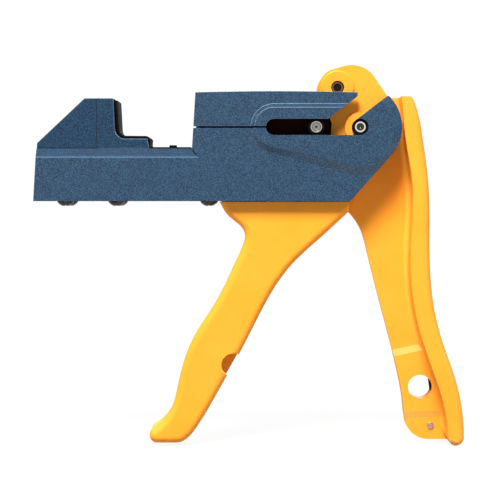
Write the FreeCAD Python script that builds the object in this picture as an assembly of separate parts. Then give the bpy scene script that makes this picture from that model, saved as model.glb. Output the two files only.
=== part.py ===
import FreeCAD, Part
import math
import os

# A hand tool that seats and trims the wires of a modular jack. Sizes are in millimetres and degrees.
# The nose points to -X, +Z is up, and the origin lies under the middle of the tool at the handles' foot.

# Toggle: pivot, knee and slide pin
pivot_x = 48.0
pivot_z = 140.5
link_length = 20.0
lever_lean = 28.6
squeeze_angle = 41.0

# Moulded body
nose_front = -94.7
nose_top = 131.2
body_bottom = 108.2
body_heel = 4.2
cover_front = -25.3
cover_top = 155.6
cover_crown = 0.5
front_draft = 3.5
wall_outer = 14.5
wall_thickness = 2.7
floor_thickness = 3.0
roof_thickness = 2.8
floor_end = 7.0
hook_radius = 18.3
hook_tip_angle = 47.0
slit_width = 0.8
slot_half_height = 3.55
mouth_angle = 37.5
arm_end = 46.9
arm_root = 34.1
pad_height = 1.5
pad_nose_radius = 10.2
pad_nose_bevel = 1.7
pad_rim_radius = 21.0
pad_rim_bevel = 5.3
pad_rim_shift = 1.0
pad_end_angle = 59.0
nose_chamfer_width = 1.3
nose_chamfer_height = 4.1
nose_chamfer_mitre = 3.0
rib_thickness = 2.4

# Jack bay
cradle_half_width = 12.6
cradle_step = 0.6
cradle_step_x = -67.0
cradle_top = 153.1
cradle_lip = 2.4
ramp_top_x = -72.3
backstop_x = -59.1
backstop_lean = 0.6
shelf_z = 135.5
shelf_end = -45.0
shelf_fall = 0.9
bay_corner_radius = 4.5
lining_thickness = 1.7
lining_half_width = 11.0
bed_top = 131.9
bed_end = -25.8
stub_x = -34.3
stub_radius = 1.7
stub_height = 1.2
bed_rib_places = (-40.0, -30.0)

# Screws under the body
screw_radius = 1.75
screw_hole_clearance = 0.2
screw_thread_clearance = 0.05
screw_head_radius = 3.65
screw_head_height = 3.0
screw_head_dome = 0.7
screw_depth = 8.5
screw_spare = 0.5
post_radius = 3.4
post_height = 10.5
cover_boss_height = 11.0
cover_screw_x = -18.2
cover_screw_y = 8.0
cradle_screw_places = (-81.5, -58.9)
cradle_screw_y = 7.0

# Pins and bushings
pivot_pin_radius = 2.6
link_pin_radius = 2.85
slide_pin_radius = 2.7
running_clearance = 0.05
press_clearance = 0.02
link_pin_recess = 1.8
pin_end_depth = 0.5
socket_radius = 1.3
socket_depth = 1.6
dowel_radius = 2.0
dowel_reach = 15.2
dowel_angle = 8.0
dowel_boss_radius = 2.9
dowel_bite = 1.7

# Front handle
grip_length = 108.2
grip_half_width = 10.5
grip_wall = 3.2
grip_round = 3.0
grip_screw_gap = 1.1
neck_set_back = 3.3
neck_drop = 5.5
toe_radius = 3.4
toe_lift = 0.9
toe_start_angle = 120.0
sole_length = 8.5
grip_front_slope = -60.0
grip_rear_slope = 42.0
channel_slopes = (-100.0, -110.0)
channel_wall = 3.8
notch_radius = 5.3
cheek_gap = 0.8
cheek_angles = (-65.0, -25.0, 15.0)
lobe_under_angle = 215.0
hub_start_angle = 25.0
cheek_inner = 5.2
cheek_outer = 9.6
lobe_radius = 8.2
lobe_boss_radius = 6.9
lobe_boss_height = 1.0
crest_radius = 12.0
crest_ahead = 3.3
crest_rise = 15.4
crest_slope = 35.0
pivot_boss_radius = 6.45
hub_radius = 11.0
side_clearance = 0.3

# Rear handle
spine_top = 154.0
spine_half_width = 13.0
spine_round = 3.0
spine_toe_radius = 3.6
spine_toe_sweep = 125.0
spine_outer_slope = -70.0
spine_inner_slopes = (92.0, 97.0)
web_top_slope = -48.0
web_foot_radius = 10.6
web_foot_angle = 188.0
web_half = 2.2
web_fillet = 2.4
hub_corner_angles = (110.0, 180.0)
rear_hub_half = 4.7
rear_hub_radius = 8.0
hang_hole_radius = 5.3
hang_hole_back = 28.0
hang_hole_z = 25.2
hang_pad_height = 0.9
hang_pad_low = 10.2
hang_pad_low_slope = 2.0
hang_pad_high = 38.4
hang_pad_high_slope = 12.0
hang_pad_ramp = 3.0
stud_radius = 1.6
stud_height = 0.35

# Toggle link, slide and blade head
link_half = 4.2
link_top_radius = 6.2
link_foot_radius = 7.4
clevis_half = 9.0
clevis_gap = 0.5
clevis_radius = 6.5
clevis_length = 20.85
slide_length = 40.85
bar_half = 6.0
flange_thickness = 2.5
head_thickness = 8.5
head_half = 9.0
head_bottom = 133.6
head_top = 151.0
cable_gap_half = 3.5
cable_gap_bottom = 140.0
cable_gap_depth = 6.0
blade_count = 4
blade_pitch = 3.1
blade_thickness = 0.7
blade_reach = 2.2
blade_root = 3.0
blade_inner = 4.2
blade_width = 3.2
knife_thickness = 0.7
knife_inset = 0.4
knife_reach = 2.8
head_screw_y = 4.2
head_screw_z = 136.6
head_screw_radius = 1.25
head_screw_head_radius = 2.1
head_screw_head_height = 1.6
head_screw_length = 14.0

# Return spring, between a rib of the cover and a lug of the slide
spring_radius = 2.2
spring_wire_radius = 0.35
spring_turns = 8
spring_rib_gap = 0.5
spring_rib_thickness = 2.0
spring_lug_ahead = 10.9
spring_lug_thickness = 3.0
spring_lug_half = 4.0
spring_peg_radius = 1.6
spring_peg_length = 2.5

# Worked out from the above
wall_inner = wall_outer - wall_thickness
pad_outer = wall_outer + pad_height
floor_top = body_bottom + floor_thickness
roof_under = cover_top - roof_thickness
boss_seat = floor_top + post_height
screw_tip = boss_seat + screw_depth
grip_top = body_bottom - side_clearance
bushing_radius = slot_half_height - running_clearance
far = 400.0
pivot = (pivot_x, pivot_z)


def around(centre, radius, angle):
    turn = math.radians(angle)
    return (centre[0] + radius * math.cos(turn), centre[1] + radius * math.sin(turn))


def heading(centre, point):
    return math.degrees(math.atan2(point[1] - centre[1], point[0] - centre[0]))


def apart(first, second):
    return math.hypot(second[0] - first[0], second[1] - first[1])


def turned(point, angle):
    return around(pivot, apart(pivot, point), heading(pivot, point) + angle)


def slide_pin_place(squeeze):
    return (pivot_x - 2 * link_length * math.sin(math.radians(lever_lean + squeeze)), pivot_z)


knee = around(pivot, link_length, 90 + lever_lean)
knee_squeezed = turned(knee, squeeze_angle)
slide_place = slide_pin_place(0)
slot_front = slide_pin_place(squeeze_angle)
roof_end = knee_squeezed[0] - lobe_radius - 2 * side_clearance
anchor = around(pivot, dowel_reach, dowel_angle)
hang_hole = (pivot_x + hang_hole_back, hang_hole_z)
bar_tip = slide_place[0] - slide_length
slide_low = pivot_z - clevis_radius
slide_high = pivot_z + clevis_radius
head_front = bar_tip - head_thickness
spring_z = slide_high + spring_radius + spring_wire_radius + side_clearance
spring_rib_x = bar_tip + flange_thickness + spring_rib_gap
spring_start = spring_rib_x + spring_rib_thickness
spring_end = slide_place[0] - spring_lug_ahead
cover_screws_at = [(cover_screw_x, side * cover_screw_y) for side in (-1, 1)]
cradle_screws_at = [(x, side * cradle_screw_y) for x in cradle_screw_places for side in (-1, 1)]


# Side-view outlines: corners are (x, z) pairs, arcs run from one angle to another, and curves pass through
# points with a given direction at each end

def at(x, z, y=0.0):
    return FreeCAD.Vector(x, y, z)


def arc(centre, radius, start, end):
    spots = [around(centre, radius, angle) for angle in (start, (start + end) / 2, end)]
    return Part.Arc(*[at(*spot) for spot in spots])


def curve(points, start, end):
    lengths = [0.0]
    for here, after in zip(points, points[1:]):
        lengths.append(lengths[-1] + apart(here, after))
    spline = Part.BSplineCurve()
    spline.interpolate(Points=[at(*point) for point in points], Parameters=lengths, Scale=False,
                       InitialTangent=at(*around((0, 0), 1, start)), FinalTangent=at(*around((0, 0), 1, end)))
    return spline


def outline(*pieces):
    stretches = []
    for piece in pieces:
        if isinstance(piece, tuple):
            stretches.append((at(*piece), at(*piece), None))
        else:
            stretches.append((piece.StartPoint, piece.EndPoint, piece.toShape()))
    edges = []
    for here, after in zip(stretches, stretches[1:] + stretches[:1]):
        if here[2] is not None:
            edges.append(here[2])
        if here[1].distanceToPoint(after[0]) > 1e-6:
            edges.append(Part.makeLine(here[1], after[0]))
    return Part.Face(Part.Wire(edges))


def touch_angle(point, centre, radius):
    return heading(centre, point) + math.degrees(math.acos(radius / apart(point, centre)))


def splay(first, first_radius, second, second_radius):
    return math.degrees(math.acos((first_radius - second_radius) / apart(first, second)))


# Solids

def slab(face, low, high):
    return face.translated(at(0, 0, low)).extrude(at(0, 0, high - low))


def block(x, y, z):
    sizes = [span[1] - span[0] for span in (x, y, z)]
    return Part.makeBox(*sizes, FreeCAD.Vector(x[0], y[0], z[0]))


def across(centre, radius, low, high):
    return Part.makeCylinder(radius, high - low, at(centre[0], centre[1], low), at(0, 0, 1))


def upright(x, y, radius, low, high):
    return Part.makeCylinder(radius, high - low, at(x, low, y))


def lengthwise(x, y, z, radius, length):
    return Part.makeCylinder(radius, length, at(x, z, y), at(1, 0))


def mirrored(shape):
    return shape.mirror(at(0, 0), at(0, 0, 1))


def paired(shape):
    return [shape, mirrored(shape)]


def joined(shapes):
    whole = shapes[0].fuse(shapes[1:])
    return whole.removeSplitter()


def less(shape, cuts):
    return shape.cut(cuts).removeSplitter()


def rims(solid, half, edge_curve):
    found = []
    for edge in solid.Edges:
        middle = edge.valueAt((edge.FirstParameter + edge.LastParameter) / 2)
        on_curve = edge_curve.toShape().distToShape(Part.Vertex(at(middle.x, middle.z)))[0] < 1e-3
        if abs(abs(middle.y) - half) < 1e-6 and on_curve:
            found.append(edge)
    return found


def pan_screw(radius, head_radius, head_height, length):
    head = Part.makeCylinder(head_radius, head_height, at(0, -head_height))
    crown = [edge for edge in head.Edges if edge.BoundBox.ZMax < 1e-6 - head_height]
    head = head.makeFillet(screw_head_dome * head_height, crown)
    return joined([head, Part.makeCylinder(radius, length + head_height / 2, at(0, -head_height / 2))])


def save(name, shapes):
    whole = shapes[0] if len(shapes) == 1 else Part.makeCompound(shapes)
    for solid in whole.Solids:
        if not solid.isValid():
            raise ValueError(name + " is not a valid solid")
    whole.exportStep("parts/" + name + ".step")
    print(name, len(whole.Solids), "solids", round(whole.Volume), "mm3")


# Moulded body: one side outline gives the housing and the cover, parted by the slit

def leaned(x, rise):
    return x + rise * math.tan(math.radians(front_draft))


def body_side():
    heel = (pivot_x - body_heel, body_bottom)
    cover_front_top = leaned(cover_front, cover_top - nose_top)
    crown = ((arm_end + cover_front_top) / 2, cover_top + cover_crown)
    return outline(
        (nose_front, body_bottom),
        heel,
        arc(pivot, hook_radius, touch_angle(heel, pivot, hook_radius), hook_tip_angle),
        Part.Arc(at(arm_end, cover_top), at(*crown), at(cover_front_top, cover_top)),
        (cover_front, nose_top),
        (leaned(nose_front, nose_top - body_bottom), nose_top),
    )


def window():
    hook_edge = around(pivot, slot_half_height, mouth_angle + 90)
    slot_top = pivot_z + slot_half_height
    arm_tip = slot_top + (arm_end - arm_root) * math.tan(math.radians(mouth_angle))
    face = outline(
        arc(slot_front, slot_half_height, 90, 270),
        arc(pivot, slot_half_height, -90, mouth_angle + 90),
        around(hook_edge, 2 * hook_radius, mouth_angle),
        (arm_end, cover_top + 2 * hook_radius),
        (arm_end, arm_tip),
        (arm_root, slot_top),
    )
    return slab(face, -far, far)


def pad_wire(centre, rim, nose, y):
    under = 180 + heading(centre, slot_front) + splay(centre, rim, slot_front, nose)
    face = outline(
        arc(slot_front, nose, 90, under - 180),
        arc(centre, rim, under - 180, 360 + pad_end_angle),
        (arm_end, pivot_z + nose),
    )
    return face.OuterWire.translated(at(0, 0, y))


def side_pad():
    shifted = (pivot_x - pad_rim_shift, pivot_z - pad_rim_shift)
    foot = pad_wire(pivot, pad_rim_radius, pad_nose_radius, wall_outer)
    top = pad_wire(shifted, pad_rim_radius - pad_rim_bevel, pad_nose_radius - pad_nose_bevel, pad_outer)
    return Part.makeLoft([foot, top], True, True).common(slab(body_side(), 0, far))


def nose_chamfer():
    low = nose_top - nose_chamfer_height
    start = nose_front - 1
    corners = [at(start, low, wall_outer), at(start, nose_top, wall_outer - nose_chamfer_width)]
    corners.append(at(start, nose_top, wall_outer))
    section = Part.Face(Part.makePolygon(corners + corners[:1]))
    seen = outline(
        (start, low),
        (cover_front + nose_chamfer_mitre, low),
        (cover_front, nose_top),
        (start, nose_top),
    )
    return section.extrude(at(cover_front - start + far, 0)).common(slab(seen, 0, far))


def body_halves():
    blank = joined([slab(body_side(), -wall_outer, wall_outer)] + paired(side_pad()))
    inside = (-wall_inner, wall_inner)
    slit = (pivot_z - slit_width / 2, pivot_z + slit_width / 2)
    cuts = [window()]
    cuts.append(block((nose_front + floor_thickness, far), inside, (floor_top, roof_under)))
    cuts.append(block((floor_end, far), inside, (0, floor_top)))
    cuts.append(block((roof_end, far), inside, (roof_under, far)))
    cuts.append(block((nose_front, slot_front[0]), (-far, far), slit))
    cuts += paired(nose_chamfer())
    return sorted(less(blank, cuts).Solids, key=lambda solid: solid.CenterOfMass.z)


def body_housing(lower):
    screws_at = cover_screws_at + cradle_screws_at
    parts = [lower]
    for x in bed_rib_places:
        parts.append(block((x - rib_thickness / 2, x + rib_thickness / 2), (-wall_inner, wall_inner),
                           (floor_top, bed_top - lining_thickness)))
    rail = block((bar_tip + flange_thickness, floor_end), (bar_half - rib_thickness, bar_half),
                 (floor_top, slide_low - side_clearance))
    parts += paired(rail)
    parts += [upright(x, y, post_radius, floor_top, boss_seat) for x, y in screws_at]
    cuts = [upright(x, y, screw_radius + screw_hole_clearance, 0, boss_seat) for x, y in screws_at]
    cuts += paired(across(anchor, dowel_radius + press_clearance, wall_inner - 1, wall_inner + dowel_bite))
    return less(joined(parts), cuts)


def upper_cover(upper):
    span = (cover_screw_x - post_radius, cover_screw_x + post_radius)
    inner = head_half + side_clearance
    slit_top = pivot_z + slit_width / 2
    hanger = block(span, (inner, wall_inner - side_clearance), (boss_seat, roof_under))
    root = block(span, (inner, wall_inner), (slit_top, roof_under))
    boss = upright(cover_screw_x, cover_screw_y, post_radius, boss_seat, boss_seat + cover_boss_height)
    reach = block((-far, far), (0, wall_inner - side_clearance), (0, far))
    tongue = joined([hanger, root, boss.common(reach)])
    rib = block((spring_rib_x, spring_start), (-bar_half, bar_half),
                (spring_z - spring_radius - spring_wire_radius, roof_under))
    peg = lengthwise(spring_start, 0, spring_z, spring_peg_radius, spring_peg_length)
    thread = upright(cover_screw_x, cover_screw_y, screw_radius + screw_thread_clearance,
                     0, screw_tip + screw_spare)
    return less(joined([upper, rib, peg] + paired(tongue)), paired(thread))


# Jack bay: a blue backstop and shelf, and the black lining that holds the jack

def under_bay(inset):
    corner = (backstop_x + bay_corner_radius, shelf_z + bay_corner_radius)
    left = nose_front + floor_thickness
    return outline(
        (backstop_x - backstop_lean - inset, cradle_top),
        arc(corner, bay_corner_radius + inset, 180, 270),
        (shelf_end - inset, shelf_z - inset),
        (shelf_end + shelf_fall - inset, bed_top - inset),
        (bed_end, bed_top - inset),
        (bed_end, floor_top),
        (left, floor_top),
        (left, cradle_top),
    )


def lining_solid():
    strip = under_bay(0).cut(under_bay(lining_thickness))
    return slab(strip, -lining_half_width, lining_half_width)


def jack_holder():
    stub = upright(stub_x, 0, stub_radius, bed_top - lining_thickness / 2, bed_top + stub_height)
    return joined([lining_solid(), stub])


def jack_cradle():
    corner = (backstop_x + bay_corner_radius, shelf_z + bay_corner_radius)
    side = outline(
        (leaned(nose_front, nose_top - body_bottom), nose_top),
        (leaned(nose_front, nose_top + cradle_lip - body_bottom), nose_top + cradle_lip),
        (ramp_top_x, cradle_top),
        (backstop_x - backstop_lean, cradle_top),
        arc(corner, bay_corner_radius, 180, 270),
        (shelf_end, shelf_z),
        (shelf_end + shelf_fall, bed_top),
        (shelf_end + shelf_fall, nose_top),
    )
    wide = cradle_half_width + cradle_step
    flank = block((nose_front, cradle_step_x), (cradle_half_width, wide), (nose_top, cradle_top))
    bosses = [upright(x, y, post_radius, boss_seat, nose_top + 1) for x, y in cradle_screws_at]
    thread = screw_radius + screw_thread_clearance
    cuts = paired(flank) + [lining_solid()]
    cuts += [upright(x, y, thread, 0, screw_tip + screw_spare) for x, y in cradle_screws_at]
    return less(joined([slab(side, -wide, wide)] + bosses), cuts)


def body_screws(places):
    screw = pan_screw(screw_radius, screw_head_radius, screw_head_height, screw_tip - body_bottom)
    return [screw.translated(at(x, body_bottom, y)) for x, y in places]


# Front handle: a grip with a channel open to the rear, and two cheeks that rise to the pivot and the knee

def below_pivot(ahead, down):
    return (pivot_x - grip_length * ahead, body_bottom - grip_length * down)


def grip_front():
    root = cover_screw_x + screw_head_radius + grip_screw_gap
    neck = [(root, grip_top), (root + neck_set_back, grip_top - neck_drop)]
    shares = ((0.470, 0.118), (0.497, 0.237), (0.583, 0.413), (0.693, 0.596), (0.742, 0.764), (0.776, 0.869))
    return neck + [below_pivot(*share) for share in shares]


def grip_rear():
    shares = ((0.653, 0.914), (0.562, 0.758), (0.466, 0.585), (0.378, 0.413), (0.276, 0.263), (0.156, 0.150),
              (0.040, 0.043))
    return [below_pivot(*share) for share in shares]


def grip():
    toe = below_pivot(0.825, 1.0)
    toe = (toe[0], toe[1] + toe_lift + toe_radius)
    sole = (toe[0] + sole_length, toe[1] - toe_radius)
    front_end = around(toe, toe_radius, toe_start_angle)
    front = curve(grip_front() + [front_end], grip_front_slope, toe_start_angle + 90)
    tip = arc(toe, toe_radius, toe_start_angle, 270)
    rear = curve([sole] + grip_rear(), 0, grip_rear_slope)
    side = outline(front, tip, rear, (pivot_x - body_heel, grip_top))
    solid = slab(side, -grip_half_width, grip_half_width)
    soft = rims(solid, grip_half_width, front) + rims(solid, grip_half_width, tip)
    solid = solid.makeFillet(grip_round, soft)
    inner = [(x + channel_wall, z) for x, z in grip_front()[2:]]
    ceiling = grip_top - grip_wall
    channel = outline(
        (floor_end, ceiling),
        (inner[0][0], ceiling),
        curve(inner, *channel_slopes),
        (far, inner[-1][1]),
        (far, far),
        (floor_end, far),
    )
    hollow = grip_half_width - grip_wall
    notch = across(below_pivot(0.512, 0.670), notch_radius, -far, 0)
    return less(solid, [slab(channel, -hollow, hollow), notch])


def cheek_side():
    crest = (pivot_x - crest_ahead, pivot_z + crest_rise)
    crown = heading(knee, crest) + splay(knee, lobe_radius, crest, crest_radius)
    heel = (pivot_x - body_heel - 2 * side_clearance, grip_top - grip_wall)
    front = floor_end + 3 * side_clearance
    root = grip_top - 2 * grip_wall
    return outline(
        (front, root),
        (front, floor_top),
        *[around(slide_place, clevis_radius + cheek_gap, angle) for angle in cheek_angles],
        arc(knee, lobe_radius, lobe_under_angle, crown),
        arc(crest, crest_radius, crown, crest_slope),
        around(pivot, hook_radius, hook_tip_angle),
        arc(pivot, hub_radius, hub_start_angle, touch_angle(heel, pivot, hub_radius)),
        heel,
        (heel[0] - 2 * grip_wall, root),
    )


def front_handle():
    cheek = slab(cheek_side(), cheek_inner, cheek_outer)
    boss_end = wall_inner - side_clearance
    parts = [grip()] + paired(cheek)
    parts += paired(across(pivot, pivot_boss_radius, cheek_inner, boss_end))
    parts += paired(across(knee, lobe_boss_radius, cheek_inner, cheek_outer + lobe_boss_height))
    cuts = [across(pivot, pivot_pin_radius + running_clearance, -far, far)]
    cuts.append(across(knee, link_pin_radius + press_clearance, -far, far))
    return less(joined(parts), cuts)


# Rear handle: a thin web with a wide spine, held by the pivot pin and the anchor dowel

def behind_pivot(back, up):
    return (pivot_x + spine_top * back, spine_top * up)


def spine_outer():
    shares = ((0.158, 0.983), (0.181, 0.879), (0.198, 0.747), (0.2015, 0.597), (0.213, 0.414), (0.238, 0.308),
              (0.279, 0.190))
    return [behind_pivot(*share) for share in shares]


def spine_inner():
    shares = ((0.249, 0.093), (0.221, 0.192), (0.179, 0.312), (0.152, 0.436), (0.147, 0.584), (0.150, 0.760),
              (0.130, 0.883), (0.118, 1.0))
    return [behind_pivot(*share) for share in shares]


def web_front():
    shares = ((-0.025, 0.670), (0.008, 0.623), (0.025, 0.568), (0.075, 0.373), (0.120, 0.195), (0.133, 0.123))
    return [behind_pivot(*share) for share in shares]


def web_outline():
    foot = behind_pivot(0.207, 0.0785)
    front_end = around(foot, web_foot_radius, web_foot_angle)
    back = [(x + spine_round, z) for x, z in spine_inner()]
    return outline(
        curve(web_front() + [front_end], web_top_slope, web_foot_angle + 90),
        arc(foot, web_foot_radius, web_foot_angle, 270),
        (back[0][0], foot[1] - web_foot_radius),
        curve(back, *spine_inner_slopes),
        behind_pivot(0.0805, 1.0),
        *[around(pivot, rear_hub_radius, angle) for angle in hub_corner_angles],
    )


def spine_toe():
    return (behind_pivot(0.2799, 0)[0], spine_toe_radius)


def stud_place():
    return behind_pivot(0.214, 0.049)


def hang_pad_wire(inset, y):
    back = spine_toe()[0] - pivot_x
    low = hang_pad_low + inset
    high = hang_pad_high - inset
    face = outline(
        (pivot_x, low),
        (pivot_x + back, low + back * math.tan(math.radians(hang_pad_low_slope))),
        (pivot_x + back, high + back * math.tan(math.radians(hang_pad_high_slope))),
        (pivot_x, high),
    )
    return face.OuterWire.translated(at(0, 0, y))


def rear_handle():
    toe = spine_toe()
    outer = curve(spine_outer() + [around(toe, spine_toe_radius, 0)], spine_outer_slope, -90)
    tip = arc(toe, spine_toe_radius, 0, -spine_toe_sweep)
    inner = curve([around(toe, spine_toe_radius, 180)] + spine_inner(), *spine_inner_slopes)
    side = outline(outer, tip, inner, behind_pivot(0.146, 1.0))
    spine = slab(side, -spine_half_width, spine_half_width)
    soft = rims(spine, spine_half_width, outer) + rims(spine, spine_half_width, tip)
    spine = spine.makeFillet(spine_round, soft)
    web_side = web_outline()
    blank = joined([spine, slab(web_side, -web_half, web_half)])
    blank = blank.makeFillet(web_fillet, rims(blank, web_half, inner))
    pad_half = web_half + hang_pad_height
    pad = Part.makeLoft([hang_pad_wire(0, web_half), hang_pad_wire(hang_pad_ramp, pad_half)], True, True)
    parts = [blank] + paired(pad.common(slab(web_side, 0, far)))
    parts.append(across(pivot, rear_hub_radius, -rear_hub_half, rear_hub_half))
    boss_end = wall_inner - side_clearance
    parts.append(across(anchor, dowel_boss_radius, -boss_end, boss_end))
    cuts = [across(pivot, pivot_pin_radius + press_clearance, -far, far)]
    cuts.append(across(anchor, dowel_radius + press_clearance, -far, far))
    cuts.append(across(hang_hole, hang_hole_radius, -far, far))
    cuts.append(across(stud_place(), stud_radius + press_clearance, -far, far))
    return less(joined(parts), cuts)


# Pins, bushings and the toggle link

def pivot_pin():
    end = pad_outer - pin_end_depth
    sockets = paired(across(pivot, socket_radius, end - socket_depth, end))
    return less(across(pivot, pivot_pin_radius, -end, end), sockets)


def bushing(centre, bore, low, high):
    return across(centre, bushing_radius, low, high).cut(across(centre, bore, low, high))


def toggle_link():
    tilt = heading(knee, slide_place)
    spread = splay(knee, link_top_radius, slide_place, link_foot_radius)
    side = outline(arc(knee, link_top_radius, tilt + spread, tilt + 360 - spread),
                   arc(slide_place, link_foot_radius, tilt - spread, tilt + spread))
    cuts = [across(knee, link_pin_radius + running_clearance, -far, far)]
    cuts.append(across(slide_place, slide_pin_radius + running_clearance, -far, far))
    return less(slab(side, -link_half, link_half), cuts)


# Slide and blade head

def slide():
    height = (slide_low, slide_high)
    clevis_start = slide_place[0] - clevis_length
    lug = (spring_end, spring_end + spring_lug_thickness)
    lug_top = spring_z + spring_radius + spring_wire_radius
    parts = [block((clevis_start, slide_place[0]), (-clevis_half, clevis_half), height)]
    parts.append(across(slide_place, clevis_radius, -clevis_half, clevis_half))
    parts.append(block((bar_tip, clevis_start), (-bar_half, bar_half), height))
    parts.append(block((bar_tip, bar_tip + flange_thickness), (-head_half, head_half), (slide_low, head_top)))
    parts.append(block(lug, (-spring_lug_half, spring_lug_half), (slide_low, lug_top)))
    parts.append(lengthwise(spring_end - spring_peg_length, 0, spring_z, spring_peg_radius, spring_peg_length))
    gap = link_half + clevis_gap
    gap_start = slide_place[0] - link_foot_radius - clevis_gap
    cuts = [block((gap_start, far), (-gap, gap), (0, far))]
    cuts.append(across(slide_place, slide_pin_radius + press_clearance, -far, far))
    thread = lengthwise(bar_tip, head_screw_y, head_screw_z, head_screw_radius + screw_thread_clearance,
                        head_screw_length)
    return less(joined(parts), cuts + paired(thread))


def seating_blades():
    blades = []
    for number in range(blade_count):
        top = head_top - blade_pitch / 2 - number * blade_pitch
        blades += paired(block((head_front - blade_reach, head_front + blade_root),
                               (blade_inner, blade_inner + blade_width), (top - blade_thickness, top)))
    return blades


def cutoff_knives():
    outer = head_half - knife_inset
    return paired(block((head_front - knife_reach, head_front + blade_root), (outer - knife_thickness, outer),
                        (cable_gap_bottom - knife_inset, head_top - knife_inset)))


def head_screws():
    seat = head_front + head_screw_head_height
    length = head_thickness - head_screw_head_height + head_screw_length - 2 * blade_root
    screw = pan_screw(head_screw_radius, head_screw_head_radius, head_screw_head_height, length)
    screw = screw.rotated(at(0, 0), at(0, 0, 1), 90)
    return paired(screw.translated(at(seat, head_screw_z, head_screw_y)))


def blade_head():
    whole = block((head_front, bar_tip), (-head_half, head_half), (head_bottom, head_top))
    cuts = [block((head_front, head_front + cable_gap_depth), (-cable_gap_half, cable_gap_half),
                  (cable_gap_bottom, far))]
    cuts += seating_blades() + cutoff_knives()
    hole = head_screw_radius + screw_hole_clearance
    cuts += paired(lengthwise(head_front, head_screw_y, head_screw_z, hole, head_thickness))
    recess = head_screw_head_radius + screw_hole_clearance
    cuts += paired(lengthwise(head_front, head_screw_y, head_screw_z, recess, head_screw_head_height))
    return less(whole, cuts)


def return_spring():
    height = spring_end - spring_start - 2 * spring_wire_radius
    helix = Part.makeHelix(height / spring_turns, height, spring_radius)
    ring = Part.Wire(Part.makeCircle(spring_wire_radius, at(spring_radius, 0), at(0, 0, 1)))
    coil = Part.Wire(helix).makePipeShell([ring], True, True)
    coil = coil.rotated(at(0, 0), at(0, 0, 1), 90)
    return coil.translated(at(spring_start + spring_wire_radius, spring_z))


os.makedirs("parts", exist_ok=True)
lower_half, upper_half = body_halves()
save("body_housing", [body_housing(lower_half)])
save("upper_cover", [upper_cover(upper_half)])
save("jack_cradle", [jack_cradle()])
save("jack_holder", [jack_holder()])
save("cradle_screws", body_screws(cradle_screws_at))
save("cover_screws", body_screws(cover_screws_at))
save("rear_handle", [rear_handle()])
dowel_end = wall_inner + dowel_bite
save("anchor_dowel", [across(anchor, dowel_radius, -dowel_end, dowel_end)])
stud_end = web_half + stud_height
save("web_stud", [across(stud_place(), stud_radius, -stud_end, stud_end)])
save("pivot_pin", [pivot_pin()])
save("pivot_bushings", paired(bushing(pivot, pivot_pin_radius + press_clearance, wall_inner,
                                      pad_outer - pin_end_depth)))
save("return_spring", [return_spring()])
save("front_handle", [front_handle()])
link_pin_end = cheek_outer + lobe_boss_height - link_pin_recess
save("link_pin", [across(knee, link_pin_radius, -link_pin_end, link_pin_end)])
save("toggle_link", [toggle_link()])
save("slide", [slide()])
slide_pin_end = pad_outer - pin_end_depth
save("slide_pin", [across(slide_place, slide_pin_radius, -slide_pin_end, slide_pin_end)])
save("slide_bushings", paired(bushing(slide_place, slide_pin_radius + press_clearance,
                                      clevis_half, slide_pin_end - pin_end_depth)))
save("blade_head", [blade_head()])
save("seating_blades", seating_blades())
save("cutoff_knives", cutoff_knives())
save("head_screws", head_screws())
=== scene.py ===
import bpy
import math
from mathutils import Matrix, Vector


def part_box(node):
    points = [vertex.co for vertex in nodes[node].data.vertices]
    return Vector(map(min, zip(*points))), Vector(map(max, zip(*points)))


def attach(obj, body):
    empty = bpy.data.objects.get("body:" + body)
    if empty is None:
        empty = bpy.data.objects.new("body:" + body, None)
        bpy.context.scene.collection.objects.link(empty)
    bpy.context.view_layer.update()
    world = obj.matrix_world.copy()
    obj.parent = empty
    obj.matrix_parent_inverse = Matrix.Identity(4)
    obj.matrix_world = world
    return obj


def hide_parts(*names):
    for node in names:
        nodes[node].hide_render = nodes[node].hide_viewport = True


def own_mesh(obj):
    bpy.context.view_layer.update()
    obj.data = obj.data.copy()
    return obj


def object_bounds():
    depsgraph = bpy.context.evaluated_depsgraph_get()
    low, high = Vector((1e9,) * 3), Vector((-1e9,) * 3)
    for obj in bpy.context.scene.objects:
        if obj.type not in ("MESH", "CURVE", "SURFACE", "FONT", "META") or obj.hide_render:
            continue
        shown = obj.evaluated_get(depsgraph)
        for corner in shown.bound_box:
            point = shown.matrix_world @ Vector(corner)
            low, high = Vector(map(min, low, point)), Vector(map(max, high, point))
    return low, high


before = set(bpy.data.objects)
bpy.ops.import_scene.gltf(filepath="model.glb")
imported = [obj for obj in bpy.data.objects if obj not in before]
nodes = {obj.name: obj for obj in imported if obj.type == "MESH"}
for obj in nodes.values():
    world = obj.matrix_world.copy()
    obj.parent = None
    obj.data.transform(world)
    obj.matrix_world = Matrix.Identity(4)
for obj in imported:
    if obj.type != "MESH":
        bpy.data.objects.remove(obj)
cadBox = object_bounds()
print("frame loaded:", len(nodes), "CAD nodes")


# Materials: colour, roughness and bump come from noise on Object coordinates; several blue and yellow looks are
# lighter or darker copies that paint light and shade onto chosen faces and edges

materials = {}


def startMaterial(name):
    material = bpy.data.materials.new(name)
    material.use_nodes = True
    tree = material.node_tree
    shader = tree.nodes["Principled BSDF"]
    coords = tree.nodes.new("ShaderNodeTexCoord")
    return material, tree, shader, coords.outputs["Object"]


def addNoise(tree, place, scale, detail=2.0, roughness=0.55):
    noise = tree.nodes.new("ShaderNodeTexNoise")
    noise.inputs["Scale"].default_value = scale
    noise.inputs["Detail"].default_value = detail
    noise.inputs["Roughness"].default_value = roughness
    tree.links.new(place, noise.inputs["Vector"])
    return noise.outputs["Fac"]


def addRamp(tree, fac, stops):
    ramp = tree.nodes.new("ShaderNodeValToRGB")
    for number, (position, colour) in enumerate(stops):
        if number < 2:  # a new ramp has its two ends already
            stop = ramp.color_ramp.elements[number]
            stop.position = position
        else:
            stop = ramp.color_ramp.elements.new(position)
        stop.color = (*colour, 1.0)
    tree.links.new(fac, ramp.inputs["Fac"])
    return ramp.outputs["Color"]


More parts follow.
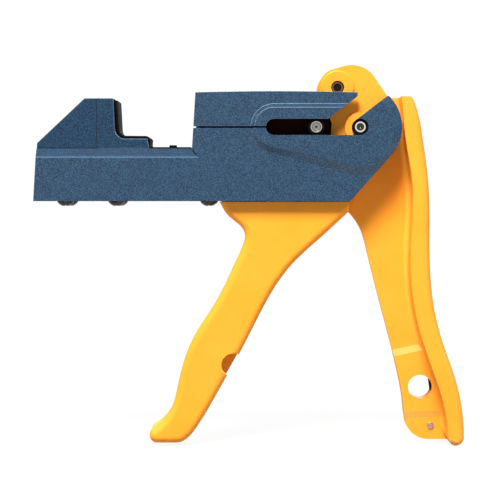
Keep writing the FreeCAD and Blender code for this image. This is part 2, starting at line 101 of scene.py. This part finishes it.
def addRange(tree, fac, low, high, fromLow=0.3, fromHigh=0.7):
    span = tree.nodes.new("ShaderNodeMapRange")
    span.inputs["From Min"].default_value = fromLow
    span.inputs["From Max"].default_value = fromHigh
    span.inputs["To Min"].default_value = low
    span.inputs["To Max"].default_value = high
    tree.links.new(fac, span.inputs["Value"])
    return span.outputs["Result"]


def addMix(tree, share, first, second):
    mix = tree.nodes.new("ShaderNodeMix")
    mix.data_type = "RGBA"
    if isinstance(share, float):
        mix.inputs["Factor"].default_value = share
    else:
        tree.links.new(share, mix.inputs["Factor"])
    tree.links.new(first, mix.inputs["A"])
    tree.links.new(second, mix.inputs["B"])
    return mix.outputs["Result"]


def addLength(tree, place):
    reach = tree.nodes.new("ShaderNodeVectorMath")
    reach.operation = "LENGTH"
    tree.links.new(place, reach.inputs[0])
    return reach.outputs["Value"]


def finishShader(tree, shader, colour, grain, look):
    tree.links.new(colour, shader.inputs["Base Color"])
    tree.links.new(addRange(tree, grain, *look["roughness"]), shader.inputs["Roughness"])
    shader.inputs["Metallic"].default_value = look["metallic"]
    shader.inputs["Specular IOR Level"].default_value = look["specular"]
    bump = tree.nodes.new("ShaderNodeBump")
    bump.inputs["Strength"].default_value = look["bump"]
    bump.inputs["Distance"].default_value = look["bumpDepth"]
    tree.links.new(grain, bump.inputs["Height"])
    tree.links.new(bump.outputs["Normal"], shader.inputs["Normal"])


blueBase = {
    "grainScale": 2900.0, "grainDetail": 3.0, "grainRoughness": 0.6, "grainStops": (0.455, 0.565),
    "grainTurn": (0.62, 0.38, 0.24),  # radians, so that no flat wall lies along the grain's own planes
    "mottleScale": 160.0, "mottleDetail": 4.0, "mottleStops": (0.35, 0.65), "mottleShare": 0.12,
    "lineStops": (0.43, 0.59), "roughness": (0.50, 0.68), "bump": 0.40, "bumpDepth": 0.00012,
    "specular": 0.29, "metallic": 0.0,
}
# Painted highlight: the edge looks below are lighter blues for rounded edges, where light catches them
blueHighlightEdgeBase = {
    **blueBase, "roughness": (0.44, 0.60), "bump": 0.25, "specular": 0.30,
    "dark": (0.018, 0.050, 0.092), "mid": (0.033, 0.072, 0.118), "light": (0.065, 0.115, 0.170),
}
blueLooks = [
    {**blueBase, "name": "bluePlastic",
     "dark": (0.0003, 0.006, 0.022), "mid": (0.006, 0.034, 0.074), "light": (0.030, 0.087, 0.154)},
    # Painted shade: the cradle's side is a darker copy of the body's blue
    {**blueBase, "name": "blueCradle", "roughness": (0.52, 0.70), "specular": 0.22,
     "dark": (0.0002, 0.003, 0.012), "mid": (0.002, 0.021, 0.052), "light": (0.011, 0.060, 0.124)},
    # Painted shade: a darker blue for chamfer faces turned up to the lamps, with a painted highlight line along the
    # chamfer's lower edge
    {**blueBase, "name": "blueChamfer", "roughness": (0.55, 0.72), "specular": 0.20,
     "dark": (0.0001, 0.004, 0.016), "mid": (0.001, 0.022, 0.056), "light": (0.006, 0.058, 0.126),
     "line": {"axis": "Z", "start": 0.1272, "reach": 0.0009,
              "dark": (0.024, 0.068, 0.126), "light": (0.070, 0.145, 0.230)}},
    # Painted light: lighter blues for faces turned down, away from the lamps; the steeper ones get the lighter of the
    # two
    {**blueBase, "name": "blueUnder",
     "dark": (0.009, 0.027, 0.056), "mid": (0.024, 0.053, 0.090), "light": (0.068, 0.108, 0.158)},
    {**blueBase, "name": "blueSteep",
     "dark": (0.012, 0.038, 0.080), "mid": (0.030, 0.072, 0.128), "light": (0.080, 0.140, 0.215)},
    # Painted highlight: the cover's rounded edges, lighter still
    {**blueHighlightEdgeBase, "name": "blueRim", "specular": 0.40,
     "dark": (0.060, 0.110, 0.165), "mid": (0.100, 0.155, 0.215), "light": (0.180, 0.240, 0.310)},
    # Painted highlight on the body's rounded edges above Z 0.133; below it they are painted darker than the body, as
    # shade
    {**blueHighlightEdgeBase, "name": "housingEdge",
     "line": {"axis": "Z", "start": 0.1330, "reach": 0.0020,
              "dark": (0.0004, 0.008, 0.022), "light": (0.008, 0.032, 0.066)}},
    # Painted highlight on the cradle's rounded edges; left of X -0.0665 they are painted darker than the cradle, as
    # shade
    {**blueHighlightEdgeBase, "name": "cradleEdge",
     "line": {"axis": "X", "start": -0.0665, "reach": 0.0020,
              "dark": (0.0003, 0.004, 0.014), "light": (0.006, 0.028, 0.062)}},
]


# The band paints light or shade: a light line at the chamfer's lower edge, and darker edges on the body below Z 0.133
# and on the cradle left of X -0.0665
def addLine(tree, place, grain, colour, look):
    line = look["line"]  # its tint is full up to the start and fades over the reach
    parts = tree.nodes.new("ShaderNodeSeparateXYZ")
    tree.links.new(place, parts.inputs["Vector"])
    share = addRange(tree, parts.outputs[line["axis"]], 1.0, 0.0, line["start"], line["start"] + line["reach"])
    tint = addRamp(tree, grain, zip(look["lineStops"], (line["dark"], line["light"])))
    return addMix(tree, share, colour, tint)


def makeBluePlastic(look):
    material, tree, shader, place = startMaterial(look["name"])
    turned = tree.nodes.new("ShaderNodeMapping")
    turned.inputs["Rotation"].default_value = look["grainTurn"]
    tree.links.new(place, turned.inputs["Vector"])
    grain = addNoise(tree, turned.outputs["Vector"], look["grainScale"], look["grainDetail"], look["grainRoughness"])
    mottle = addNoise(tree, place, look["mottleScale"], look["mottleDetail"])
    fine = addRamp(tree, grain, zip(look["grainStops"], (look["dark"], look["light"])))
    broad = addRamp(tree, mottle, zip(look["mottleStops"], (look["dark"], look["mid"])))
    colour = addMix(tree, look["mottleShare"], fine, broad)
    if "line" in look:
        colour = addLine(tree, place, grain, colour, look)
    finishShader(tree, shader, colour, grain, look)
    materials[look["name"]] = material


yellowBase = {
    "mottleScale": 45.0, "mottleDetail": 4.0, "grainScale": 900.0,
    "deepStop": 0.30, "mainStop": 0.50, "paleStop": 0.72,
    "roughness": (0.48, 0.60), "bump": 0.06, "bumpDepth": 0.0001, "specular": 0.30, "metallic": 0.0,
}
yellowLooks = [
    {**yellowBase, "name": "yellowPlastic",
     "deep": (0.92, 0.322, 0.014), "main": (0.94, 0.342, 0.019), "pale": (0.95, 0.360, 0.026)},
    # Painted light: a paler yellow for the rear handle's faces turned down
    {**yellowBase, "name": "yellowPale",
     "deep": (0.94, 0.420, 0.050), "main": (0.95, 0.450, 0.062), "pale": (0.96, 0.480, 0.075)},
    # Painted highlight: a paler yellow for the rear handle's ramp faces turned up
    {**yellowBase, "name": "yellowRamp",
     "deep": (0.90, 0.350, 0.056), "main": (0.91, 0.366, 0.065), "pale": (0.92, 0.382, 0.074)},
    # Painted light: a slightly paler yellow for the rear handle's faces turned left, in the fillet beside the spine
    {**yellowBase, "name": "yellowSide",
     "deep": (0.93, 0.355, 0.024), "main": (0.945, 0.378, 0.030), "pale": (0.955, 0.400, 0.037)},
    # Painted shade: a dark brown yellow for the wall of the hang hole
    {**yellowBase, "name": "yellowHole", "specular": 0.20,
     "deep": (0.40, 0.115, 0.008), "main": (0.44, 0.130, 0.010), "pale": (0.48, 0.145, 0.012)},
]


def makeYellowPlastic(look):
    material, tree, shader, place = startMaterial(look["name"])
    mottle = addNoise(tree, place, look["mottleScale"], look["mottleDetail"])
    grain = addNoise(tree, place, look["grainScale"])
    colour = addRamp(tree, mottle, [(look[tone + "Stop"], look[tone]) for tone in ("deep", "pale", "main")])
    finishShader(tree, shader, colour, grain, look)
    materials[look["name"]] = material


grainedBase = {"grainDetail": 3.0, "grainStops": (0.35, 0.65), "bumpDepth": 0.00008, "metallic": 1.0, "specular": 0.5}
grainedLooks = [
    {**grainedBase, "name": "blackPlastic", "metallic": 0.0, "specular": 0.012,
     "dark": (0.0025, 0.0025, 0.003), "light": (0.008, 0.008, 0.009),
     "grainScale": 1100.0, "roughness": (0.62, 0.78), "bump": 0.2},
    {**grainedBase, "name": "pinSteel",
     "dark": (0.14, 0.138, 0.125), "light": (0.26, 0.255, 0.235),
     "grainScale": 900.0, "roughness": (0.22, 0.36), "bump": 0.06},
    {**grainedBase, "name": "slideSteel", "metallic": 0.0, "specular": 0.03,  # painted shade: near black and almost without reflection, for the shade in the dark channel
     "dark": (0.010, 0.0024, 0.0016), "light": (0.022, 0.0050, 0.0034),
     "grainScale": 900.0, "roughness": (0.55, 0.70), "bump": 0.05},
    {**grainedBase, "name": "screwSteel",
     "dark": (0.022, 0.018, 0.017), "light": (0.075, 0.064, 0.058),
     "grainScale": 700.0, "roughness": (0.32, 0.48), "bump": 0.10},
    {**grainedBase, "name": "bladeSteel",
     "dark": (0.50, 0.50, 0.49), "light": (0.72, 0.72, 0.71),
     "grainScale": 500.0, "roughness": (0.20, 0.34), "bump": 0.05},
    {**grainedBase, "name": "studMetal",
     "dark": (0.40, 0.24, 0.17), "light": (0.58, 0.36, 0.26),
     "grainScale": 800.0, "roughness": (0.36, 0.50), "bump": 0.06},
]


def makeGrained(look):
    material, tree, shader, place = startMaterial(look["name"])
    grain = addNoise(tree, place, look["grainScale"], look["grainDetail"])
    colour = addRamp(tree, grain, zip(look["grainStops"], (look["dark"], look["light"])))
    finishShader(tree, shader, colour, grain, look)
    materials[look["name"]] = material


for look in blueLooks:
    makeBluePlastic(look)
for look in yellowLooks:
    makeYellowPlastic(look)
for look in grainedLooks:
    makeGrained(look)
print("materials made:", len(materials))


# CAD nodes: a finish, and a small rounding of the sharp edges as moulded and turned pieces have; on the blue body,
# cover and cradle these rounded edges take a lighter blue as a painted highlight

nodeBase = {"weld": 0.000005, "flatAngle": 0.5, "segments": 3, "angle": 38.0}
nodeLooks = {
    "body_housing": {"finish": "bluePlastic", "edge": "housingEdge", "rounding": 0.00035, "angle": 16.0},
    "upper_cover": {"finish": "bluePlastic", "edge": "blueRim", "rounding": 0.00055},
    "jack_cradle": {"finish": "blueCradle", "edge": "cradleEdge", "rounding": 0.00045},
    "jack_holder": {"finish": "blackPlastic", "rounding": 0.0003},
    "rear_handle": {"finish": "yellowPlastic", "rounding": 0.0007},
    "front_handle": {"finish": "yellowPlastic", "rounding": 0.0007},
    "anchor_dowel": {"finish": "pinSteel", "rounding": 0.0002},
    "web_stud": {"finish": "studMetal", "rounding": 0.0002},
    "pivot_bushings": {"finish": "blackPlastic", "rounding": 0.0001},
    "toggle_link": {"finish": "slideSteel", "rounding": 0.0005},
    "slide": {"finish": "slideSteel", "rounding": 0.0004},
    "slide_bushings": {"finish": "blackPlastic", "rounding": 0.0001},
    "blade_head": {"finish": "blackPlastic", "rounding": 0.0003},
    "seating_blades": {"finish": "bladeSteel", "rounding": 0.0001},
    "cutoff_knives": {"finish": "bladeSteel", "rounding": 0.0001},
}


def finishNode(name, look):
    node = nodes[name]
    node.data.materials.clear()
    node.data.materials.append(materials[look["finish"]])
    weld = node.modifiers.new("weld", "WELD")
    weld.merge_threshold = look["weld"]
    flat = node.modifiers.new("flat", "DECIMATE")
    flat.decimate_type = "DISSOLVE"
    flat.angle_limit = math.radians(look["flatAngle"])
    bevel = node.modifiers.new("rounding", "BEVEL")
    bevel.width = look["rounding"]
    bevel.segments = look["segments"]
    bevel.limit_method = "ANGLE"
    bevel.angle_limit = math.radians(look["angle"])
    bevel.use_clamp_overlap = True
    # The bevel's new faces take the edge look, a painted highlight
    if "edge" in look:
        node.data.materials.append(materials[look["edge"]])
        bevel.material = len(node.data.materials) - 1


for name, look in nodeLooks.items():
    finishNode(name, {**nodeBase, **look})

# Single faces, picked by their normal: rise is its Z, lean its X, and side the least of its Y; these faces get the
# lighter and darker copies above, as painted light and painted shade, and the hang hole's wall a painted shade
anyWay = (-1.01, 1.01)  # a little wider than any normal reaches
faceLooks = [
    {"node": "body_housing", "finish": "blueChamfer", "rise": (0.2, 0.45), "lean": anyWay, "side": 0.9},
    {"node": "body_housing", "finish": "blueUnder", "rise": (-0.40, -0.1), "lean": anyWay, "side": 0.5},
    {"node": "body_housing", "finish": "blueSteep", "rise": (-0.85, -0.40), "lean": anyWay, "side": 0.3},
    {"node": "upper_cover", "finish": "blueChamfer", "rise": (0.45, 0.85), "lean": anyWay, "side": 0.5},
    {"node": "rear_handle", "finish": "yellowRamp", "rise": (0.12, 0.50), "lean": anyWay, "side": 0.85},
    {"node": "rear_handle", "finish": "yellowPale", "rise": (-0.50, -0.12), "lean": anyWay, "side": 0.85},
    {"node": "rear_handle", "finish": "yellowSide", "rise": (-0.60, 0.60), "lean": (-1.01, -0.15), "side": 0.0},
    {"node": "rear_handle", "finish": "yellowHole", "rise": anyWay, "lean": anyWay, "side": 0.0,
     "hole": {"centre": (0.0760, 0.0252), "reach": 0.0054, "mostSide": 0.2}},
]


def inHole(face, hole):
    away = math.dist((face.center.x, face.center.z), hole["centre"])
    return away <= hole["reach"] and abs(face.normal.y) <= hole["mostSide"]


def finishFaces(look):
    mesh = nodes[look["node"]].data
    mesh.materials.append(materials[look["finish"]])
    rise, lean = look["rise"], look["lean"]
    for face in mesh.polygons:
        if "hole" in look and not inHole(face, look["hole"]):
            continue
        normal = face.normal
        if rise[0] < normal.z < rise[1] and lean[0] < normal.x < lean[1] and abs(normal.y) >= look["side"]:
            face.material_index = len(mesh.materials) - 1


for look in faceLooks:
    finishFaces(look)
print("CAD nodes finished:", len(nodeLooks))


# New pieces: turned pins, crossed screws, the coil, the small dark blocks that stand in for shade, the lobe rims, and
# the lining of the jack bay

newPieces = []


def clearSelection():
    bpy.ops.object.select_all(action="DESELECT")


def pickOnly(piece):
    clearSelection()
    piece.select_set(True)
    bpy.context.view_layer.objects.active = piece


def joinPieces(pieces):
    if len(pieces) == 1:
        return
    clearSelection()
    for piece in pieces:
        piece.select_set(True)
    bpy.context.view_layer.objects.active = pieces[0]
    bpy.ops.object.join()


def nodeMiddle(name):
    low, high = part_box(name)
    return (Vector(low) + Vector(high)) / 2


def byAxis(heading, along, across):
    return [along if part else across for part in heading]


def turnSolid(start, heading, profile, sides):
    direction = Vector(heading)
    clearSelection()
    bpy.ops.mesh.primitive_circle_add(
        vertices=sides, radius=profile[0][1], fill_type="NGON",
        location=Vector(start) + direction * profile[0][0],
        rotation=direction.to_track_quat("Z", "Y").to_euler())
    bpy.ops.object.transform_apply(location=True, rotation=True, scale=True)
    bpy.ops.object.mode_set(mode="EDIT")
    bpy.ops.mesh.select_all(action="SELECT")
    for (before, size), (after, nextSize) in zip(profile, profile[1:]):
        bpy.ops.mesh.extrude_region_move(TRANSFORM_OT_translate={"value": direction * (after - before)})
        bpy.ops.transform.resize(value=byAxis(heading, 1.0, nextSize / size),
                                 center_override=Vector(start) + direction * after)
    bpy.ops.object.mode_set(mode="OBJECT")
    return bpy.context.object


def cutAway(piece, cutter):
    pickOnly(piece)
    cut = piece.modifiers.new("cut", "BOOLEAN")
    cut.operation = "DIFFERENCE"
    cut.object = cutter
    bpy.ops.object.modifier_apply(modifier=cut.name)
    bpy.data.objects.remove(cutter)


settleLook = {"weld": 0.000002, "smoothAngle": 32.0}


def settle(piece, name, finish, body, slot, *standsFor):
    piece.name = name
    piece.data.name = name
    pickOnly(piece)
    bpy.ops.object.transform_apply(location=True, rotation=True, scale=True)
    bpy.ops.object.mode_set(mode="EDIT")
    bpy.ops.mesh.select_all(action="SELECT")
    bpy.ops.mesh.remove_doubles(threshold=settleLook["weld"])
    bpy.ops.mesh.normals_make_consistent(inside=False)
    bpy.ops.object.mode_set(mode="OBJECT")
    bpy.ops.object.shade_smooth_by_angle(angle=math.radians(settleLook["smoothAngle"]))
    piece.data.materials.clear()
    piece.data.materials.append(materials[finish])
    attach(piece, body)
    if standsFor:
        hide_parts(*standsFor)
    newPieces.append(piece)


# Pins: steps are (depth from the end face, share of the radius), rings are (share of the radius, colour); the rings
# paint the end faces, bright ones as painted highlights and dark ones as painted shade in the recess
pinBase = {"sides": 64, "grainScale": 2200.0, "grainDetail": 3.0, "bump": 0.12, "bumpDepth": 0.00006,
           "metallic": 1.0, "specular": 0.5}
pinLooks = [
    {**pinBase, "name": "pivotPinTurned", "node": "pivot_pin", "body": "body",
     "steps": [(0.00035, 1.0), (0.0, 0.88), (0.0, 0.66), (0.0011, 0.56), (0.0011, 0.30), (0.0006, 0.10)],
     "highlightShadeRings": [(0.10, (0.16, 0.15, 0.11)), (0.98, (0.34, 0.33, 0.31)), (0.34, (0.045, 0.042, 0.03)),
               (0.56, (0.10, 0.095, 0.075)), (0.68, (0.75, 0.74, 0.71)), (0.86, (0.80, 0.79, 0.77))],
     "roughness": (0.16, 0.30)},
    {**pinBase, "name": "slidePinTurned", "node": "slide_pin", "body": "ram",
     "steps": [(0.0004, 1.0), (0.0, 0.90), (0.0, 0.72), (0.0003, 0.66), (0.0003, 0.22), (0.0007, 0.10)],
     "highlightShadeRings": [(0.08, (0.11, 0.108, 0.09)), (1.0, (0.22, 0.215, 0.19)), (0.28, (0.30, 0.295, 0.26)),
               (0.60, (0.25, 0.245, 0.215)), (0.70, (0.12, 0.117, 0.10)), (0.80, (0.52, 0.51, 0.46))],
     "roughness": (0.20, 0.34)},
    {**pinBase, "name": "linkPinTurned", "node": "link_pin", "body": "lever",
     "steps": [(0.0004, 1.0), (0.0, 0.88), (0.0, 0.60), (0.0008, 0.52), (0.0008, 0.10)],
     "highlightShadeRings": [(0.12, (0.035, 0.018, 0.012)), (1.0, (0.012, 0.007, 0.004)), (0.45, (0.02, 0.010, 0.007)),
               (0.62, (0.11, 0.065, 0.045)), (0.78, (0.26, 0.17, 0.13)), (0.88, (0.02, 0.012, 0.008))],
     "roughness": (0.28, 0.42)},
]


def makeTurned(look, centre, radius):
    material, tree, shader, place = startMaterial(look["name"] + "Steel")
    centred = tree.nodes.new("ShaderNodeMapping")
    centred.inputs["Location"].default_value = (-centre.x / radius, 0, -centre.z / radius)
    centred.inputs["Scale"].default_value = (1 / radius, 0, 1 / radius)
    tree.links.new(place, centred.inputs["Vector"])
    # Colour by distance from the pin's axis: painted highlight and shade rings
    colour = addRamp(tree, addLength(tree, centred.outputs["Vector"]), look["highlightShadeRings"])
    grain = addNoise(tree, place, look["grainScale"], look["grainDetail"])
    finishShader(tree, shader, colour, grain, look)
    materials[look["name"]] = material


def makePin(look):
    low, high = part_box(look["node"])
    radius = (high[0] - low[0]) / 2
    half = (high[1] - low[1]) / 2
    centre = nodeMiddle(look["node"])
    makeTurned(look, centre, radius)
    nearEnd = [(depth - half, share * radius) for depth, share in reversed(look["steps"])]
    farEnd = [(half - depth, share * radius) for depth, share in look["steps"]]
    pin = turnSolid(centre, (0, -1, 0), nearEnd + farEnd, look["sides"])
    settle(pin, look["name"], look["name"], look["body"], "bright_steel", look["node"])


for look in pinLooks:
    makePin(look)

# Screws: the dome is (share of the height, share of the head), the seat is the head's depth in the solids
screwBase = {
    "sides": 40, "tipShare": 0.6, "tipLength": 0.5,
    "dome": ((0.16, 1.0), (0.42, 0.90), (0.66, 0.74), (0.86, 0.56), (1.0, 0.38)),
    "recessDepth": 0.9, "recessWidth": 0.22, "recessLength": 1.15, "placeDigits": 5,
}
bodyScrewBase = {**screwBase, "body": "body", "heading": (0, 0, -1),
                 "head": 0.00365, "seat": 0.0030, "height": 0.0021, "shank": 0.00175}
screwLooks = [
    {**bodyScrewBase, "name": "cradleScrewsCrossed", "node": "cradle_screws"},
    {**bodyScrewBase, "name": "coverScrewsCrossed", "node": "cover_screws"},
    {**screwBase, "name": "headScrewsCrossed", "node": "head_screws", "body": "ram", "heading": (-1, 0, 0),
     "head": 0.0021, "seat": 0.0016, "height": 0.0016, "shank": 0.00125},
]


def crossScrew(start, look, length):
    heading, head, height, shank = look["heading"], look["head"], look["height"], look["shank"]
    profile = [(0.0, shank * look["tipShare"]), (shank * look["tipLength"], shank), (length, shank), (length, head)]
    profile += [(length + height * rise, head * share) for rise, share in look["dome"]]
    screw = turnSolid(start, heading, profile, look["sides"])
    end = Vector(start) + Vector(heading) * (length + height)
    for turn in (0, 90):
        clearSelection()
        bpy.ops.mesh.primitive_cube_add(size=1.0, location=end,
                                        rotation=[math.radians(turn) * part for part in heading])
        cutter = bpy.context.object
        cutter.scale = byAxis(heading, height * look["recessDepth"], head * look["recessWidth"])
        cutter.scale.y = head * look["recessLength"]
        cutAway(screw, cutter)
    return screw


def makeScrews(look):
    low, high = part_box(look["node"])
    axis = [abs(part) for part in look["heading"]].index(1)
    length = high[axis] - low[axis] - look["seat"]
    ends = []
    for least, most in zip(low, high):  # a single row gives one place, two rows give two
        inner = (least + look["head"], most - look["head"])
        ends.append(sorted({round(place, look["placeDigits"]) for place in inner}))
    ends[axis] = [high[axis]]
    places = [Vector((x, y, z)) for x in ends[0] for y in ends[1] for z in ends[2]]
    screws = [crossScrew(places[0], look, length)]
    for place in places[1:]:
        pickOnly(screws[0])
        bpy.ops.object.duplicate()
        bpy.context.object.location = place - places[0]
        screws.append(bpy.context.object)
    joinPieces(screws)
    settle(screws[0], look["name"], "screwSteel", look["body"], "dark_steel", look["node"])


for look in screwLooks:
    makeScrews(look)

springLook = {"name": "returnSpringCoil", "node": "return_spring", "keep": 0.264}


def makeSpring(look):
    pickOnly(nodes[look["node"]])
    bpy.ops.object.duplicate()
    spring = bpy.context.object
    settle(spring, look["name"], "pinSteel", "body", "bright_steel", look["node"])
    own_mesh(spring)


makeSpring(springLook)

# Blocks: black strips that close the slit and the gap under the body, and a thin dark strip in the hang hole; all
# three are painted shade, dark pieces where there is only shade
blockBase = {"mirrored": False, "lean": 0.0, "rounding": 0.0001, "segments": 2}
blockLooks = [
    {**blockBase, "name": "slitLips", "low": (-0.0231, 0.01155, 0.1388), "high": (-0.0115, 0.01185, 0.1422),
     "mirrored": True},
    {**blockBase, "name": "floorLip", "low": (-0.0125, -0.0090, 0.10793), "high": (0.0075, 0.0090, 0.1084),
     "rounding": 0.00005},
    {**blockBase, "name": "holeLiner", "low": (0.08055, -0.0020, 0.0222), "high": (0.0813, 0.0020, 0.0292),
     "lean": -8.0},
]


def makeBlocks(look):
    low, high = Vector(look["low"]), Vector(look["high"])
    middle = (low + high) / 2
    blocks = []
    for side in (1, -1) if look["mirrored"] else (1,):
        clearSelection()
        bpy.ops.mesh.primitive_cube_add(size=1.0, location=(middle.x, middle.y * side, middle.z),
                                        rotation=(0, math.radians(look["lean"]), 0))
        block = bpy.context.object
        block.scale = high - low
        bpy.ops.object.transform_apply(location=True, rotation=True, scale=True)
        bpy.ops.object.mode_set(mode="EDIT")
        bpy.ops.mesh.select_all(action="SELECT")
        bpy.ops.mesh.bevel(offset=look["rounding"], segments=look["segments"])
        bpy.ops.object.mode_set(mode="OBJECT")
        blocks.append(block)
    joinPieces(blocks)
    settle(blocks[0], look["name"], "blackPlastic", "body", "black_plastic")


for look in blockLooks:
    makeBlocks(look)

# Rims of the lever's lobe: steps are (height above the foot, radius), the foot is its distance from the mid-plane
lobeLook = {
    "name": "lobeRims", "node": "link_pin", "foot": 0.0095, "sides": 72, "bore": 0.0029, "boreDepth": 0.0046,
    "steps": [(0.0, 0.0074), (0.0002875, 0.0074), (0.0009775, 0.006283), (0.00115, 0.0061)],
}


def makeLobeRims(look):
    centre = nodeMiddle(look["node"])
    rims = []
    for side in (-1, 1):
        foot = (centre.x, side * look["foot"], centre.z)
        rim = turnSolid(foot, (0, side, 0), look["steps"], look["sides"])
        clearSelection()
        bpy.ops.mesh.primitive_cylinder_add(vertices=look["sides"], radius=look["bore"], depth=look["boreDepth"],
                                            location=foot, rotation=(math.radians(90), 0, 0))
        cutAway(rim, bpy.context.object)
        rims.append(rim)
    joinPieces(rims)
    settle(rims[0], look["name"], "yellowPlastic", "lever", "yellow_plastic")


makeLobeRims(lobeLook)

# Lining of the jack bay: a strip along the path, in X and Z, thickened away from the bay
linerLook = {
    "name": "bayLiner", "half": 0.0109, "top": (-0.05945, 0.1529), "first": 0.0005, "thickness": 0.0016,
    "rounding": 0.0002, "segments": 2, "edgeAngle": 50.0,
    "path": [(-0.05885, 0.14000), (-0.05853, 0.13837), (-0.05761, 0.13700), (-0.05623, 0.13607), (-0.05460, 0.13575),
             (-0.04560, 0.13575), (-0.04510, 0.13560), (-0.04485, 0.13520), (-0.04395, 0.13210)],
}


def makeLiner(look):
    left, top = look["top"]
    middle = top - look["first"] / 2
    clearSelection()
    bpy.ops.mesh.primitive_plane_add(size=1.0, location=(left, 0, middle), rotation=(0, math.radians(90), 0))
    liner = bpy.context.object
    liner.scale = (look["first"], 2 * look["half"], 1.0)
    bpy.ops.object.transform_apply(location=True, rotation=True, scale=True)
    for spot in liner.data.vertices:
        spot.select = spot.co.z < middle
    bpy.ops.object.mode_set(mode="EDIT")
    here = Vector((left, 0, top - look["first"]))
    for x, z in look["path"]:
        after = Vector((x, 0, z))
        bpy.ops.mesh.extrude_region_move(TRANSFORM_OT_translate={"value": after - here})
        here = after
    bpy.ops.mesh.select_all(action="SELECT")
    bpy.ops.mesh.normals_make_consistent(inside=False)
    bpy.ops.object.mode_set(mode="OBJECT")
    thick = liner.modifiers.new("thick", "SOLIDIFY")
    thick.thickness = look["thickness"]
    thick.offset = -1.0
    bpy.ops.object.modifier_apply(modifier=thick.name)
    edge = liner.modifiers.new("edge", "BEVEL")
    edge.width = look["rounding"]
    edge.segments = look["segments"]
    edge.angle_limit = math.radians(look["edgeAngle"])
    bpy.ops.object.modifier_apply(modifier=edge.name)
    settle(liner, look["name"], "blackPlastic", "body", "black_plastic")


makeLiner(linerLook)
print("new pieces made:", len(newPieces))


# Stage: a pale floor and sky that the camera sees as white, and three soft lamps

floorLook = {
    "size": 6.0, "drop": 0.0005, "tints": ((0.25, 0.25, 0.25), (0.28, 0.28, 0.28)), "tintScale": 3.0, "roughness": 0.9,
    "nearWhite": 0.85, "nearReach": 0.25, "farReach": 0.60, "glow": 1.08,
}


def addSeen(tree):
    path = tree.nodes.new("ShaderNodeLightPath")
    total = path.outputs["Is Camera Ray"]
    for kind in ("Is Glossy Ray", "Is Transmission Ray"):
        either = tree.nodes.new("ShaderNodeMath")
        either.operation = "MAXIMUM"
        tree.links.new(total, either.inputs[0])
        tree.links.new(path.outputs[kind], either.inputs[1])
        total = either.outputs["Value"]
    return total


def makeFloor(look):
    clearSelection()
    bpy.ops.mesh.primitive_plane_add(size=look["size"], location=(0, 0, cadBox[0][2] - look["drop"]))
    floor = bpy.context.object
    floor.name = "floor"
    material, tree, shader, place = startMaterial("paleFloor")
    grain = addNoise(tree, place, look["tintScale"])
    tint = addRamp(tree, grain, zip((0.0, 1.0), look["tints"]))
    tree.links.new(tint, shader.inputs["Base Color"])
    shader.inputs["Roughness"].default_value = look["roughness"]
    glow = tree.nodes.new("ShaderNodeEmission")
    glow.inputs["Strength"].default_value = look["glow"]
    # Near the tool the glow is weaker, so that its shadow shows
    white = addRange(tree, addLength(tree, place), look["nearWhite"], 1.0, look["nearReach"], look["farReach"])
    share = tree.nodes.new("ShaderNodeMath")
    share.operation = "MULTIPLY"
    tree.links.new(white, share.inputs[0])
    tree.links.new(addSeen(tree), share.inputs[1])
    mix = tree.nodes.new("ShaderNodeMixShader")
    tree.links.new(share.outputs["Value"], mix.inputs["Fac"])
    tree.links.new(shader.outputs["BSDF"], mix.inputs[1])
    tree.links.new(glow.outputs["Emission"], mix.inputs[2])
    tree.links.new(mix.outputs["Shader"], tree.nodes["Material Output"].inputs["Surface"])
    floor.data.materials.append(material)


makeFloor(floorLook)

skyLook = {"colour": (1.0, 1.0, 1.0), "light": 0.06, "seen": 1.0}


def makeSky(look):
    world = bpy.data.worlds.new("studio")
    bpy.context.scene.world = world
    world.use_nodes = True
    tree = world.node_tree
    sky = tree.nodes["Background"]
    sky.inputs["Color"].default_value = (*look["colour"], 1.0)
    tree.links.new(addRange(tree, addSeen(tree), look["light"], look["seen"], 0.0, 1.0), sky.inputs["Strength"])


makeSky(skyLook)

lampLooks = [
    {"name": "keyLamp", "place": (-0.32, -0.92, 1.58), "size": 0.60, "power": 78.0},
    {"name": "fillLamp", "place": (0.60, -0.24, 0.06), "size": 0.40, "power": 0.85},
    {"name": "backLamp", "place": (0.35, 0.85, 0.75), "size": 0.70, "power": 20.0},
]


def facing(place, aim):
    return (Vector(aim) - Vector(place)).to_track_quat("-Z", "Y").to_euler()


def makeLamp(look):
    bpy.ops.object.light_add(type="AREA", location=look["place"])
    lamp = bpy.context.object
    lamp.name = look["name"]
    lamp.data.size = look["size"]
    lamp.data.energy = look["power"]
    lamp.rotation_euler = facing(look["place"], (cadBox[0] + cadBox[1]) / 2)


for look in lampLooks:
    makeLamp(look)

cameraLook = {"place": (0.0, -0.600, 0.110), "aim": (0.0, 0.0, 0.0863), "lens": 96.5, "sensor": 36.0, "clip": 0.01}


def makeCamera(look):
    bpy.ops.object.camera_add(location=look["place"])
    camera = bpy.context.object
    camera.data.lens = look["lens"]
    camera.data.sensor_width = look["sensor"]
    camera.data.clip_start = look["clip"]
    camera.rotation_euler = facing(look["place"], look["aim"])
    bpy.context.scene.camera = camera


makeCamera(cameraLook)
bpy.context.scene.view_settings.view_transform = "Standard"
print("stage, lamps and camera placed")
